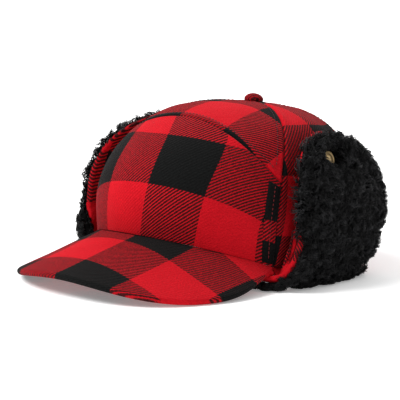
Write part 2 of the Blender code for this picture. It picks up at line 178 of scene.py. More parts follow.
# The rolls where the fold meets the visor, as listed points, and from which point each side's roll of wool
# starts
CORNER_WOOL = (
    (0.0940, -0.0365, 0.044), (0.0955, -0.0360, 0.026), (0.0960, -0.0385, 0.014),
    (0.0945, -0.0415, 0.004), (0.0910, -0.0455, -0.004), (0.0860, -0.0500, -0.0072),
    (0.0770, -0.0545, -0.0084),
)
CORNER_WOOL_FROM = {1: 0, -1: 4}
CORNER_FLEECE = {
    1: (
        (0.1020, -0.0370, 0.012), (0.1015, -0.0400, 0.004), (0.0970, -0.0430, -0.004),
        (0.0900, -0.0485, -0.0105), (0.0840, -0.0550, -0.0125), (0.0780, -0.0575, -0.0125),
        (0.0735, -0.0590, -0.0122),
    ),
    -1: (
        (0.0985, -0.0385, 0.014), (0.0975, -0.0435, 0.005), (0.0935, -0.0485, -0.003),
        (0.0880, -0.0530, -0.007), (0.0820, -0.0570, -0.0095), (0.0760, -0.0590, -0.0100),
    ),
}
CORNER_WOOL_RADIUS = 0.0026
CORNER_FLEECE_RADIUS = {1: 0.0028, -1: 0.0044}
CORNER_GRAIN = (43.0, 18.0)

# How far the front edge of each flap stands off the crown beyond its solid, for the wearer's left and right
FLARE = {1: 0.0, -1: 0.0165}
FLARE_START = -0.004
FLARE_RUN = 0.036

# Seam tabs: name, lowest and highest climb, slant of the top, where the cloth starts, and extra lift
SEAM_TABS = (("lower", 0.008, 0.185, 0.0, 66.0, 0.0), ("upper", 0.178, 0.325, 0.018, 46.0, 0.0003))

# The snap's cap as (radius, height over its seat)
SNAP_DOME = (
    (0.0016, 0.0), (0.0056, 0.0), (0.0061, 0.0002), (0.0062, 0.0006), (0.0060, 0.0011),
    (0.0055, 0.0015), (0.0048, 0.0017), (0.0042, 0.0015), (0.0038, 0.0012), (0.0034, 0.0012),
    (0.0030, 0.0015), (0.0024, 0.0018), (0.0016, 0.0020), (0.0008, 0.0021), (0.0002, 0.0021),
)

# The camera: degrees round, up and rolled, then metres and millimetres, and the aim beside the rim's centre
VIEW_ROUND = 37.35
VIEW_UP = 10.68
VIEW_ROLL = 2.36
VIEW_DISTANCE = 1.3
VIEW_LENS = 154.3
VIEW_AIM_LEFT = 0.01706
VIEW_AIM_UP = 0.03692
LAMPS = (("key", (-0.52, -0.55, 0.80), 2.6, 34), ("back", (-0.30, 0.75, 0.75), 0.8, 50))


# ---------------------------------------------------------------- node materials


class Nodes:
    """Short names for making and joining shader nodes."""

    def __init__(self, name):
        self.material = bpy.data.materials.new(name)
        self.material.use_nodes = True
        self.tree = self.material.node_tree
        self.shader = self.tree.nodes["Principled BSDF"]

    def add(self, kind, **settings):
        node = self.tree.nodes.new(kind)
        for key, value in settings.items():
            setattr(node, key, value)
        return node

    def join(self, source, socket):
        self.tree.links.new(source, socket)

    def feed(self, socket, value):
        if isinstance(value, bpy.types.NodeSocket):
            self.join(value, socket)
        else:
            socket.default_value = value

    def math(self, operation, first, second=0.0, third=0.0):
        node = self.add("ShaderNodeMath", operation=operation)
        for socket, value in zip(node.inputs, (first, second, third)):
            self.feed(socket, value)
        return node.outputs[0]

    def mix(self, share, first, second):
        node = self.add("ShaderNodeMix", data_type="RGBA")
        self.feed(node.inputs["Factor"], share)
        self.feed(node.inputs["A"], first if not isinstance(first, tuple) else (*first, 1))
        self.feed(node.inputs["B"], second if not isinstance(second, tuple) else (*second, 1))
        return node.outputs["Result"]

    def noise(self, place, scale, detail=2.0, roughness=0.5):
        node = self.add("ShaderNodeTexNoise")
        self.join(place, node.inputs["Vector"])
        node.inputs["Scale"].default_value = scale
        node.inputs["Detail"].default_value = detail
        node.inputs["Roughness"].default_value = roughness
        return node.outputs["Fac"]

    def span(self, value, low, high, to_low=0.0, to_high=1.0):
        node = self.add("ShaderNodeMapRange")
        self.join(value, node.inputs["Value"])
        for key, number in zip(("From Min", "From Max", "To Min", "To Max"), (low, high, to_low, to_high)):
            node.inputs[key].default_value = number
        return node.outputs["Result"]

    def bump(self, height, distance, strength=1.0):
        node = self.add("ShaderNodeBump")
        self.join(height, node.inputs["Height"])
        node.inputs["Distance"].default_value = distance
        node.inputs["Strength"].default_value = strength
        self.join(node.outputs["Normal"], self.shader.inputs["Normal"])

    def set(self, **values):
        for key, value in values.items():
            self.shader.inputs[key.replace("_", " ")].default_value = value

    def place(self):
        return self.add("ShaderNodeTexCoord").outputs["Object"]

    def colour(self, value):
        self.join(value, self.shader.inputs["Base Color"])


def tint(colour, share):
    return tuple(c * share for c in colour)


def buffalo_check(name, red=(0.60, 0.0125, 0.024), black=(0.0085, 0.0088, 0.0088)):
    """A 2/2 twill of red and black stripes, brushed. The UV map holds millimetres along weft and warp."""
    n = Nodes(name)
    cloth = n.add("ShaderNodeUVMap", uv_map="cloth").outputs[0]
    wander = n.add("ShaderNodeTexNoise", noise_dimensions="2D")
    n.join(cloth, wander.inputs["Vector"])
    wander.inputs["Scale"].default_value = 0.9
    wander.inputs["Detail"].default_value = 4.0
    shift = n.add("ShaderNodeVectorMath", operation="MULTIPLY_ADD")
    n.join(wander.outputs["Color"], shift.inputs[0])
    shift.inputs[1].default_value = (0.9, 0.9, 0)
    n.join(cloth, shift.inputs[2])
    parts = n.add("ShaderNodeSeparateXYZ")
    n.join(shift.outputs[0], parts.inputs[0])
    across, along = parts.outputs[0], parts.outputs[1]
    lint = n.noise(cloth, 2.6, 3.0, 0.65)
    wale = n.math("FRACT", n.math("DIVIDE", n.math("SUBTRACT", across, along), 4 * YARN))
    cover = n.math("MULTIPLY_ADD", lint, 0.55, WARP_COVER - 0.275)
    warp_up = n.math("LESS_THAN", wale, cover)
    weft_up = n.math("GREATER_THAN", wale, n.math("SUBTRACT", 1.0, cover))
    warp_red = n.math("LESS_THAN", n.math("FLOORED_MODULO", across, 2 * CHECK), CHECK)
    weft_red = n.math("LESS_THAN", n.math("FLOORED_MODULO", along, 2 * CHECK), CHECK)
    striped = n.math("ADD", n.math("MULTIPLY", warp_up, warp_red), n.math("MULTIPLY", weft_up, weft_red))
    chosen = n.math("MAXIMUM", striped, n.math("MULTIPLY", warp_red, weft_red))
    felt = n.noise(cloth, 0.8, 4.0, 0.65)
    blotch = n.noise(cloth, 0.06, 3.0)
    both = n.math("MULTIPLY", n.math("ADD", warp_red, weft_red), 0.5)
    fuzz = n.math("MULTIPLY_ADD", n.span(felt, 0.35, 0.70), 0.30, 0.08)
    clear = n.math("MULTIPLY", chosen, n.math("SUBTRACT", 1.0, fuzz))
    blend = n.math("ADD", clear, n.math("MULTIPLY", both, fuzz))
    red_mix = n.mix(n.span(felt, 0.3, 0.7), tint(red, 0.74), tint(red, 1.15))
    red_mix = n.mix(n.span(blotch, 0.3, 0.7, 0.0, 0.25), red_mix, tint(red, 0.66))
    black_mix = n.mix(n.span(felt, 0.35, 0.75), black, tint(black, 2.0))
    black_mix = n.mix(n.span(lint, 0.68, 0.80, 0.0, 0.25), black_mix, (0.05, 0.012, 0.014))
    n.colour(n.mix(n.math("MULTIPLY", blend, 0.96), black_mix, red_mix))
    ridge = n.math("COSINE", n.math("MULTIPLY", n.math("SUBTRACT", across, along), 2 * math.pi / (4 * YARN)))
    height = n.math("MULTIPLY_ADD", ridge, 0.45, n.math("MULTIPLY", felt, 1.9))
    height = n.math("MULTIPLY_ADD", lint, 1.1, height)
    n.bump(height, 0.00022, 0.9)
    n.set(Roughness=0.95, Sheen_Weight=0.05, Sheen_Roughness=0.4, Specular_IOR_Level=0.08)
    n.shader.inputs["Sheen Tint"].default_value = (1.0, 0.8, 0.78, 1)
    return n.material


def fleece_wool(name, tone):
    """The ground that the locks stand on, close-set and matt."""
    n = Nodes(name)
    clump = n.noise(n.place(), 420.0, 3.0, 0.6)
    n.colour(n.mix(n.span(clump, 0.3, 0.7), tint((0.6, 0.6, 0.62), tone), tint((1.5, 1.5, 1.55), tone)))
    n.bump(clump, 0.0012, 0.8)
    n.set(Roughness=0.9, Sheen_Weight=0.03, Sheen_Roughness=0.45, Specular_IOR_Level=0.1)
    return n.material


def curl_wool(name, tone, roughness):
    """One shade of the locks, whose texture is in their shape."""
    n = Nodes(name)
    n.set(Base_Color=(tone, tone, tone * 1.06, 1), Roughness=roughness, Specular_IOR_Level=0.3)
    return n.material


def plain_weave(name, colour, pitch, roughness, sheen=0.1, mapped=True):
    """A fine plain weave on the cloth UV map or, where a piece has none, across its own X and Y."""
    n = Nodes(name)
    if mapped:
        cloth = n.add("ShaderNodeUVMap", uv_map="cloth").outputs[0]
    else:
        scaled = n.add("ShaderNodeVectorMath", operation="SCALE")
        n.join(n.place(), scaled.inputs[0])
        scaled.inputs["Scale"].default_value = MILLIMETRES
        cloth = scaled.outputs[0]
    parts = n.add("ShaderNodeSeparateXYZ")
    n.join(cloth, parts.inputs[0])
    turn = 2 * math.pi / pitch
    weave = n.math("MULTIPLY", n.math("SINE", n.math("MULTIPLY", parts.outputs[0], turn)),
                   n.math("SINE", n.math("MULTIPLY", parts.outputs[1], turn)))
    wear = n.noise(cloth, 0.25, 3.0)
    n.colour(n.mix(n.span(wear, 0.3, 0.7), tint(colour, 0.8), tint(colour, 1.25)))
    n.bump(n.math("MULTIPLY_ADD", wear, 1.5, weave), 0.00008, 0.8)
    n.set(Roughness=roughness, Sheen_Weight=sheen, Specular_IOR_Level=0.3)
    return n.material


def metal(name, colour, roughness):
    """Metal that is darker and rougher where it is worn."""
    n = Nodes(name)
    wear = n.noise(n.place(), 900.0, 3.0)
    n.colour(n.mix(n.span(wear, 0.35, 0.7), tint(colour, 0.75), colour))
    n.join(n.span(wear, 0.3, 0.7, roughness + 0.12, roughness), n.shader.inputs["Roughness"])
    n.set(Metallic=1.0)
    return n.material


def thread(name, colour):
    n = Nodes(name)
    twist = n.noise(n.place(), 2500.0, 1.0)
    n.colour(n.mix(twist, tint(colour, 0.6), colour))
    n.set(Roughness=0.6, Sheen_Weight=0.1)
    return n.material


PLAID = buffalo_check("buffalo_check")
FLEECE = fleece_wool("fleece_ground", 0.0025)
CURLS = (
    curl_wool("fleece_curls", 0.0035, 0.5),
    curl_wool("fleece_curls_mid", 0.0075, 0.42),
    curl_wool("fleece_curls_light", 0.030, 0.36),
)
LINING = plain_weave("lining_satin", (0.045, 0.045, 0.050), 0.5, 0.42, 0.05)
BAND = plain_weave("sweatband_twill", (0.060, 0.060, 0.064), 0.8, 0.8)
BUCKRAM = plain_weave("buckram_weave", (0.72, 0.70, 0.64), 1.4, 0.9, mapped=False)
BOARD = plain_weave("visor_board_sheet", (0.70, 0.68, 0.62), 2.5, 0.6, mapped=False)
BRASS = metal("satin_brass", (0.95, 0.72, 0.40), 0.36)
STEEL = metal("zinc", (0.62, 0.62, 0.62), 0.35)
RED_THREAD = thread("red_thread", (0.30, 0.012, 0.018))
DARK_THREAD = thread("dark_thread", (0.03, 0.012, 0.014))


# ---------------------------------------------------------------- meshes


def to_world(points):
    """Points given in the cap's own frame, as world points."""
    return placed(points, CAP)


def unit(vectors):
    return vectors / np.maximum(np.linalg.norm(vectors, axis=-1, keepdims=True), 1e-12)


def placed(points, matrix):
    """Points moved by a 4x4 matrix."""
    matrix = np.array(matrix)
    return points @ matrix[:3, :3].T + matrix[:3, 3]


def run_along(line):
    """Distance run along a line of points."""
    return np.concatenate(((0,), np.cumsum(np.linalg.norm(np.diff(line, axis=0), axis=1))))


def through(a, b, c, d, t):
    """The point at share t from b to c on a smooth curve through four points."""
    return (b * 2 + (c - a) * t + (a * 2 - b * 5 + c * 4 - d) * t**2 + (b * 3 - a - c * 3 + d) * t**3) / 2


def tree_of(points):
    tree = KDTree(len(points))
    for k, point in enumerate(points):
        tree.insert(point, k)
    tree.balance()
    return tree


def ring_faces(count, sides):
    """Faces of a tube of so many rings, closed at both ends."""
    index = np.arange(count * sides).reshape(count, sides)
    after = np.roll(index, -1, axis=1)
    faces = np.stack((index[:-1], after[:-1], after[1:], index[1:]), -1).reshape(-1, 4).tolist()
    return faces + [index[0][::-1].tolist(), index[-1].tolist()]


def link(name, mesh):
    thing = bpy.data.objects.new(name, mesh)
    bpy.context.scene.collection.objects.link(thing)
    return thing


def new_mesh(name, points, faces, material, uv=None):
    mesh = bpy.data.meshes.new(name)
    mesh.from_pydata(points, [], faces)
    if uv is not None:
        layer = mesh.uv_layers.new(name="cloth")
        index = np.empty(len(mesh.loops), np.int32)
        mesh.loops.foreach_get("vertex_index", index)
        layer.data.foreach_set("uv", uv[index].astype(np.float32).ravel())
    mesh.shade_smooth()
    mesh.materials.append(material)
    return link(name, mesh)


def face_out(thing):
    """Turns a closed mesh's faces outward."""
    made = bmesh.new()
    made.from_mesh(thing.data)
    bmesh.ops.recalc_face_normals(made, faces=made.faces)
    made.to_mesh(thing.data)
    made.free()
    return thing


def sheet_mesh(name, outer, inner, uv, material, ring=False):
    """A closed cloth piece between two grids of world points; a ring joins its last row to its first."""
    rows, columns = outer.shape[:2]
    count = rows * columns
    index = np.arange(count).reshape(rows, columns)
    faces = []
    first = index if ring else index[:-1]
    second = np.roll(index, -1, axis=0) if ring else index[1:]
    for offset, flip in ((0, False), (count, True)):
        quads = np.stack((first[:, :-1], second[:, :-1], second[:, 1:], first[:, 1:]), -1)
        quads = quads.reshape(-1, 4) + offset
        faces.append(quads[:, ::-1] if flip else quads)
    for column in (0, columns - 1):
        a, b = first[:, column], second[:, column]
        faces.append(np.stack((a, b, b + count, a + count), -1))
    if not ring:
        for row in (0, rows - 1):
            a, b = index[row, :-1], index[row, 1:]
            faces.append(np.stack((a, b, b + count, a + count), -1))
    points = np.concatenate((outer.reshape(-1, 3), inner.reshape(-1, 3)))
    both = np.concatenate((uv.reshape(-1, 2), uv.reshape(-1, 2)))
    return face_out(new_mesh(name, points, np.concatenate(faces).tolist(), material, both))


def crown(angle, climb):
    """The crown's outer surface in the cap's frame: angle from the front towards +X, climb 0 at the rim
    and 1 on top."""
    facing = np.cos(angle)
    front, back = np.maximum(facing, 0), np.maximum(-facing, 0)
    power = SIDE_SQUARENESS + (FRONT_SQUARENESS - SIDE_SQUARENESS) * front
    power = power + (BACK_SQUARENESS - SIDE_SQUARENESS) * back
    across, upward = np.cos(climb * math.pi / 2), np.sin(climb * math.pi / 2)
    scale = (across**power + upward**power) ** (-1 / power)
    reach, rise = across * scale, np.minimum(upward * scale, 1.0)
    bulge = FRONT_BULGE * np.sin(math.pi * rise**BULGE_SKEW) * front
    rim = RIM_ARCH * np.maximum(0, 1 - (angle / SIDE_SEAM) ** 2)
    x = HALF_WIDTH * reach * np.sin(angle)
    y = -HALF_LENGTH * reach * facing + BUTTON_SETBACK * rise - bulge
    return np.stack((x, y, rim * (1 - rise) + CROWN_HEIGHT * rise), -1)


def crown_normal(angle, climb):
    step = 1e-4
    turn = crown(angle + step, climb) - crown(angle - step, climb)
    low, high = np.maximum(climb - step, 0), np.minimum(climb + step, 0.999)
    return unit(np.cross(turn, crown(angle, high) - crown(angle, low)))


def arch_climb(angle):
    return ARCH_TOP + (ARCH_SIDE - ARCH_TOP) * (angle / SIDE_SEAM) ** 2


def edge_spacing(length, step):
    """Shares from 0 to 1 along a length, closer together near both ends, where seams are modelled."""
    near = np.array((0, 0.0004, 0.0008, 0.0013, 0.0019, 0.0027, 0.0037, 0.0049))
    count = max(3, int((length - 0.0125) / step))
    middle = np.linspace(0.0063, length - 0.0063, count)
    return np.concatenate((near, middle, length - near[::-1])) / length


def arc_lengths(points, axis):
    """Distance run along one axis of a grid of points, from its first row or column."""
    steps = np.linalg.norm(np.diff(points, axis=axis), axis=-1)
    return np.concatenate((np.zeros_like(steps.take([0], axis)), np.cumsum(steps, axis)), axis)


def ripple(points, wave, seed):
    """Smooth unevenness between about -1 and 1, as cloth has, from a few crossing waves."""
    rng = np.random.default_rng(seed)
    total = 0
    for _ in range(7):
        direction = unit(rng.normal(size=3))
        pace = wave * rng.uniform(0.7, 1.5)
        total = total + np.sin(points @ direction * 2 * math.pi / pace + rng.uniform(0, 6.3))
    return total / 3.2


def seam_dip(distance, depth=0.0011):
    """How the cloth dips into a seam and swells beside it."""
    swelling = 0.0004 * np.exp(-(((distance - 0.0030) / 0.0018) ** 2))
    return swelling - depth * np.exp(-((distance / 0.0009) ** 2))


def crown_cloth(name, start, end, low, high, layout, slack, seed, dips=(1, 1, 1, 1)):
    """One wool panel of the crown. layout turns its grid into cloth coordinates, and slack is how uneven
    it lies."""
    middle = (start + end) / 2
    width = run_along(crown(np.linspace(start, end, 60), np.full(60, 0.25)))[-1]
    height = run_along(crown(np.full(60, middle), np.linspace(low(middle), high(middle), 60)))[-1]
    across = edge_spacing(width, PANEL_STEP)
    up = edge_spacing(height, PANEL_STEP)
    angle = np.repeat((start + (end - start) * across)[:, None], len(up), 1)
    bottom = np.vectorize(low)(angle)
    climb = bottom + (np.vectorize(high)(angle) - bottom) * up[None, :]
    base = crown(angle, climb)
    normal = crown_normal(angle, climb)
    run = arc_lengths(base, 0)
    rise = arc_lengths(base, 1)
    lift = slack * ripple(base, 0.055, seed) + 0.25 * slack * ripple(base, 0.018, seed + 1)
    settled = 1.0
    for dip, distance in zip(dips, (run, run[-1:] - run, rise, rise[:, -1:] - rise)):
        settled = settled * (1 - np.exp(-((distance / 0.012) ** 2)))
        if dip:
            lift = lift + dip * seam_dip(distance)
    lift = lift - slack * ripple(base, 0.055, seed) * (1 - settled)
    outer = base + normal * lift[..., None]
    cloth = layout(angle, climb, base, run, rise)
    thing = sheet_mesh(name, to_world(outer), to_world(outer - normal * WOOL), cloth, PLAID)
    return thing


def laid(across, up, grain):
    """Cloth coordinates in millimetres of points that lie so far across and up a form."""
    a, b = across / EASE_STEP, up / EASE_STEP
    terms = (np.ones_like(a), a, b, a * b, b * b, a * a)
    return np.stack([sum(share * term for share, term in zip(row, terms)) for row in grain], -1)


def from_centre_line(centre, grain):
    """Lays a panel's cloth by the way across from its centre line, and the way up from the rim."""

    def layout(angle, climb, base, run, rise):
        middle = np.empty(run.shape[1])
        order = np.argsort(angle[:, 0])
        for k in range(run.shape[1]):
            middle[k] = np.interp(centre, angle[order, k], run[order, k])
        return laid(run - middle, rise, grain)

    return layout


def from_button(angle, climb, base, run, rise):
    """Lays the top panel's cloth flat from the button."""
    fine = np.linspace(0, 1, 240)
    radius = np.empty_like(climb)
    for i in range(climb.shape[0]):
        line = crown(np.full(240, angle[i, 0]), 1 - fine * (1 - climb[i].min()))
        radius[i] = np.interp(1 - climb[i], fine * (1 - climb[i].min()), run_along(line))
    way = unit(base[..., :2] - np.array((0, BUTTON_SETBACK))) * radius[..., None]
    return laid(way[..., 0], way[..., 1], TOP_GRAIN)


def make_crown():
    def rim(angle):
        return 0.0

    def top(angle):
        return PANEL_TOP

    front = crown_cloth("front_cloth", -SIDE_SEAM, SIDE_SEAM, rim, arch_climb,
                        from_centre_line(0.0, FRONT_GRAIN), 0.0003, 11, (1, 1, 0, 1))
    crest = crown_cloth("top_cloth", -SIDE_SEAM, SIDE_SEAM, arch_climb, top, from_button, 0.0005, 21)
    settle(front, "crown", "wool_plaid", "front_panel")
    settle(crest, "crown", "wool_plaid", "top_panel")
    for side, sign in (("left", 1), ("right", -1)):
        centre = sign * (SIDE_SEAM + BACK_SEAM) / 2
        flank = crown_cloth(f"{side}_side_cloth", sign * SIDE_SEAM, sign * BACK_SEAM, rim, top,
                            from_centre_line(centre, SIDE_GRAIN), 0.0008, 31 + sign)
        settle(flank, "crown", "wool_plaid", f"{side}_side_panel")
        rear = crown_cloth(f"{side}_back_cloth", sign * BACK_SEAM, sign * math.pi, rim, top,
                           from_centre_line(sign * math.pi, BACK_GRAIN), 0.0009, 41 + sign)
        settle(rear, "crown", "wool_plaid", f"{side}_back_panel")


def settle(thing, body, slot, *nodes):
    """Hangs a piece on its body and hides the nodes it stands for; slot is not used."""
    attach(thing, body)
    if nodes:
        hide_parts(*nodes)
    return thing


def inner_cloth(name, columns, climbs, outside, inside, material):
    """A ring of cloth within the crown, from outside deep to what inside gives for (climb, points)."""
    angles = np.linspace(-math.pi, math.pi, columns + 1)[:-1]
    angle, climb = np.meshgrid(angles, climbs, indexing="ij")
    base, normal = crown(angle, climb), crown_normal(angle, climb)
    uv = np.stack((angle * HEAD_RADIUS, arc_lengths(base, 1) * MILLIMETRES), -1)
    inner = base - normal * inside(climb, base)[..., None]
    return sheet_mesh(name, to_world(base - normal * outside), to_world(inner), uv, material, ring=True)


def make_inside():
    """The lining and the sweatband."""

    def lining_depth(climb, base):
        return 0.0042 + 0.0002 * ripple(base, 0.03, 5) + 0.0008

    def band_depth(climb, base):
        share = (climb - climb.min()) / (climb.max() - climb.min())
        return 0.0060 + (0.0012 * np.sin(math.pi * share) ** 0.5 + 0.0002 * ripple(base, 0.02, 6))

    climbs = np.linspace(0.02, 0.985, 60)
    lining = inner_cloth("crown_lining_cloth", 180, climbs, LINING_DEPTH, lining_depth, LINING)
    settle(lining, "crown", "lining", "crown_lining")
    climbs = np.linspace(0.008, 0.195, 26)
    band = inner_cloth("sweatband_cloth", 240, climbs, BAND_DEPTH, band_depth, BAND)
    settle(band, "crown", "sweatband", "sweatband")


def rim_point(angle, depth, drop):
    """A point below the crown's edge, depth inside its outer face."""
    edge = crown(angle, np.zeros_like(angle)) - crown_normal(angle, np.zeros_like(angle)) * depth
    edge[..., 2] = RIM_ARCH * np.maximum(0, 1 - (angle / SIDE_SEAM) ** 2) - drop
    return edge


def visor_edge(share):
    bend = share * math.pi / 2
    power = 2 / VISOR_SQUARENESS
    corner = HALF_LENGTH * math.cos(SIDE_SEAM) + VISOR_CORNER_ADVANCE
    across = np.sign(share) * np.abs(np.sin(bend)) ** power * VISOR_HALF_WIDTH
    forward = corner + (HALF_LENGTH + VISOR_REACH - corner) * np.abs(np.cos(bend)) ** power
    height = RIM_ARCH - VISOR_SIDE_DROP * (across / 0.08) ** 2 - VISOR_SLOPE * (forward - HALF_LENGTH)
    pinch = np.maximum(0, np.abs(share) - 0.72) / 0.28
    return np.stack((across * (1 - VISOR_CORNER_PINCH * pinch**2), -forward, height), -1)


def visor_top(share, out):
    """Out 0 where the visor tucks under the crown, 0.1 at the rim and 1 at its edge."""
    angle = share * SIDE_SEAM
    tuck, rim, edge = rim_point(angle, VISOR_TUCK, 0.0004), rim_point(angle, 0.0, 0.0004), visor_edge(share)
    low = (out / 0.1)[..., None]
    high = ((out - 0.1) / 0.9)[..., None]
    return np.where(low < 1, tuck + (rim - tuck) * low, rim + (edge - rim) * high)


def visor_normal(share, out):
    step = 1e-3
    inner = np.clip(out, 0.12, 1 - step)
    across = visor_top(np.minimum(share + step, 1), inner) - visor_top(np.maximum(share - step, -1), inner)
    outward = visor_top(share, inner + step) - visor_top(share, inner)
    normal = unit(np.cross(outward, across))
    return normal * np.sign(normal[..., 2:])


def visor_sheet(name, section_outer, section_inner, material):
    """A visor layer. Each section is a list of (way out, distance in from the edge, depth below the top)."""
    even = np.linspace(-1, 1, 181)
    share = (even + np.sin(even * math.pi / 2)) / 2 * 0.998
    span = visor_top(share, np.ones_like(share)) - visor_top(share, np.full_like(share, 0.1))
    reach = np.linalg.norm(span, axis=-1)
    grids = []
    for section in (section_outer, section_inner):
        rows = []
        for way, inset, depth in section:
            out = way * (1 - 0.9 * inset / reach)
            point = visor_top(share, out)
            swell = 0.0003 * ripple(point, 0.05, 51) * min(1, 6 * (1 - way) + 0.1)
            rows.append(point - visor_normal(share, out) * (depth - swell)[..., None])
        grids.append(np.stack(rows, 1))
    flat = grids[0]
    wrap = np.array([depth for _, _, depth in section_outer])
    uv = laid(flat[..., 0], flat[..., 1] - wrap[None, :] - VISOR_MIDDLE, VISOR_GRAIN)
    return sheet_mesh(name, to_world(grids[0]), to_world(grids[1]), uv, material)


def make_visor():
    ways = np.concatenate((np.linspace(0, 0.1, 5), np.linspace(0.115, 1.0, 56)))
    half = VISOR_THICKNESS / 2
    bend = np.linspace(0, math.pi, 13)[1:]
    outer = [(way, half, 0.0) for way in ways]
    outer += [(1.0, half * (1 - math.sin(b)), half * (1 - math.cos(b))) for b in bend]
    outer += [(1.0, inset, VISOR_THICKNESS) for inset in (0.0029, 0.0035)]
    small = half - VISOR_COVER
    inner = [(way, half, VISOR_COVER) for way in ways]
    inner += [(1.0, half - small * math.sin(b), half - small * math.cos(b)) for b in bend]
    inner += [(1.0, inset, VISOR_THICKNESS - VISOR_COVER) for inset in (0.0029, 0.0035)]
    top = visor_sheet("visor_top_cloth", outer, inner, PLAID)
    settle(top, "crown", "wool_plaid", "visor_top_cover")
    edge = 0.0031
    under = [(way, edge, VISOR_THICKNESS - (0.0002 if way < 1 else 0.0005)) for way in ways]
    over = [(way, edge, VISOR_THICKNESS - 0.0012) for way in ways]
    bottom = visor_sheet("visor_under_cloth", under, over, PLAID)
    settle(bottom, "crown", "wool_plaid", "visor_under_cover")


def lathe(name, profile, material, place, sides=48, uv=False):
    """A turned piece from (radius, height) pairs, placed by a matrix."""
    angle = np.arange(sides) * 2 * math.pi / sides
    points = []
    for radius, height in profile:
        points += [(radius * math.cos(a), radius * math.sin(a), height) for a in angle]
    coords = np.array(points)
    flat = coords[:, :2] * MILLIMETRES * 1.35 if uv else None
    faces = ring_faces(len(profile), sides)
    return face_out(new_mesh(name, placed(coords, place), faces, material, flat))


def make_button():
    lo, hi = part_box("top_button_cap")
    radius = (hi.x - lo.x) / 2
    top = Vector(crown(np.array(0.0), np.array(1.0)))
    height = 0.0066
    profile = [(0.0003, 0.0001), (radius * 0.8, 0.0001), (radius * 0.93, 0.0004), (radius, height * 0.26)]
    for i in range(1, 15):
        bend = math.pi / 2 * i / 14.5
        profile.append((radius * math.cos(bend), height * (0.26 + 0.74 * math.sin(bend))))
    button = lathe("button_cloth", profile, PLAID, CAP @ Matrix.Translation(top), 72, True)
    layer = button.data.uv_layers["cloth"].data
    for item in layer:
        item.uv = (item.uv[0] + 20, item.uv[1] + 62)
    settle(button, "crown", "wool_plaid", "top_button_cap")


# ---------------------------------------------------------------- ear flaps


def outline_curve(count):
    """Points on a smooth closed curve through the flap's outline."""
    points = np.array(FLAP_OUTLINE)
    total = len(points)
    place = np.arange(count) * total / count
    k = place.astype(int)
    t = (place - k)[:, None]
    return through(*(points[(k + n) % total] for n in (-1, 0, 1, 2)), t)


def flap_face_x(y, z):
    return FLAP_FACE_X - FLAP_WRAP * y * y - FLAP_LEAN * np.maximum(z - FLAP_LEAN_START, 0.0) ** 2


def flare(sign, y, z):
    """How far a flap's front part stands off beyond its solid."""
    share = np.clip((FLARE_START - y) / FLARE_RUN, 0, 1.4)
    return FLARE[sign] * share**1.6 * np.clip((z + 0.010) / 0.030, 0, 1)


def flap_grid(section, sign, spokes=200):
    """A flap's points from a section of (distance in from the outline, distance out from the wool side)."""
    centre = np.array(FLAP_CENTRE)
    spoke = outline_curve(spokes) - centre
    length = np.linalg.norm(spoke, axis=1, keepdims=True)
    rows = []
    for inset, out in section:
        at = centre + spoke * np.maximum(0.02, 1 - inset / length)
        face = flap_face_x(at[:, 0], at[:, 1]) + flare(sign, at[:, 0], at[:, 1])
        rows.append(np.column_stack((sign * (face + out), at)))
    return np.stack(rows, 1)


def front_share(grid, sign):
    """How far a place on a flap belongs to the upper front edge, where the pile hides the wool."""
    high = np.clip((grid[..., 2] - FRONT_COVER_FROM[sign]) / 0.022, 0, 1)
    ahead = np.clip((0.012 - grid[..., 1]) / 0.034, 0, 1)
    return high * high * (3 - 2 * high) * ahead * ahead * (3 - 2 * ahead)


def make_shell(side, sign):
    """The flap's wool side, padded, with a rolled edge."""
    roll = 0.0019
    section = [(inset, 0.0) for inset in np.linspace(0.062, 0.012, 26)]
    section += [(0.0095, -0.0001), (0.0075, -0.0003), (0.0055, -0.0006), (0.0040, -0.0008)]
    for bend in np.linspace(-math.pi / 2, math.pi / 2, 13):
        section.append((roll * (1 - math.cos(bend)) + 0.0006, roll * 0.55 + roll * 1.05 * math.sin(bend)))
    section += [(0.0050, 0.0030), (0.0080, 0.0024)]
    outer = flap_grid(section, sign)
    body = np.array([inset for inset, _ in section]) > 0.004
    outer[..., 0] += 0.0006 * sign * ripple(outer, 0.04, 61 + sign) * body
    outer[..., 1] += FRONT_TUCK[sign] * front_share(outer, sign)
    deep = [FLAP_SHELL * 0.9 if k < 26 else 0.0016 for k in range(len(section))]
    inner = flap_grid([(max(inset, 0.0045), out) for (inset, _), out in zip(section, deep)], sign)
    inner[..., 1] += FRONT_TUCK[sign] * front_share(inner, sign)
    wrap = sign * outer[..., 0] - flap_face_x(outer[..., 1], outer[..., 2])
    uv = laid(outer[..., 1] + wrap, outer[..., 2], FLAP_GRAIN)
    shell = sheet_mesh(f"{side}_flap_wool", to_world(outer), to_world(inner), uv, PLAID, ring=True)
    settle(shell, f"{side}_flap", "wool_plaid", f"{side}_flap_shell")


def tufts(roots, seed, apart=0.0036):
    """The tuft that each lock belongs to: the nearest of a scattering of locks, about this far apart."""
    rng = np.random.default_rng(seed)
    order = rng.permutation(len(roots))
    tree = tree_of(roots)
    taken = np.zeros(len(roots), bool)
    centres = []
    for k in order:
        if taken[k]:
            continue
        centres.append(k)
        for _, near, _ in tree.find_range(roots[k], apart * rng.uniform(0.8, 1.2)):
            taken[near] = True
    tree = tree_of(roots[centres])
    return np.array(centres)[[tree.find(root)[1] for root in roots]]


